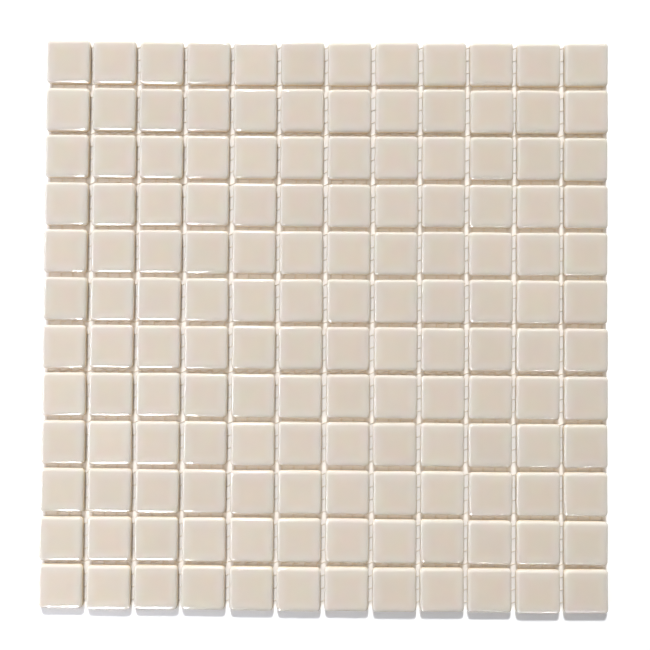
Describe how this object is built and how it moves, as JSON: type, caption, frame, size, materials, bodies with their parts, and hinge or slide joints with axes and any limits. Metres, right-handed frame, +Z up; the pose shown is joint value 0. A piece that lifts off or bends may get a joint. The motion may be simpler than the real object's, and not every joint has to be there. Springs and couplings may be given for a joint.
{
  "type": "mosaic tile sheet",
  "caption": "Flat square sheet of small glossy glass chips laid in a grid with narrow open joints on a woven mesh backing, for covering walls and floors.",
  "frame": {"origin": "middle of the sheet, on the underside of the backing net", "axes": "+Z up, out of the polished faces of the chips; +X along the rows of chips; +Y from the last row to the first row"},
  "size_m": [0.2972, 0.2995, 0.0045],
  "materials": {
    "glass_chip": "polished, pearly beige, opaque",
    "backing_net": "woven glass fibre, resin coated, off-white"
  },
  "bodies": {
    "root": {"chip_row_01": "glass_chip", "chip_row_02": "glass_chip", "chip_row_03": "glass_chip", "chip_row_04": "glass_chip", "chip_row_05": "glass_chip", "chip_row_06": "glass_chip", "chip_row_07": "glass_chip", "chip_row_08": "glass_chip", "chip_row_09": "glass_chip", "chip_row_10": "glass_chip", "chip_row_11": "glass_chip", "chip_row_12": "glass_chip", "net_warp": "backing_net", "net_weft": "backing_net"}
  },
  "joints": []
}
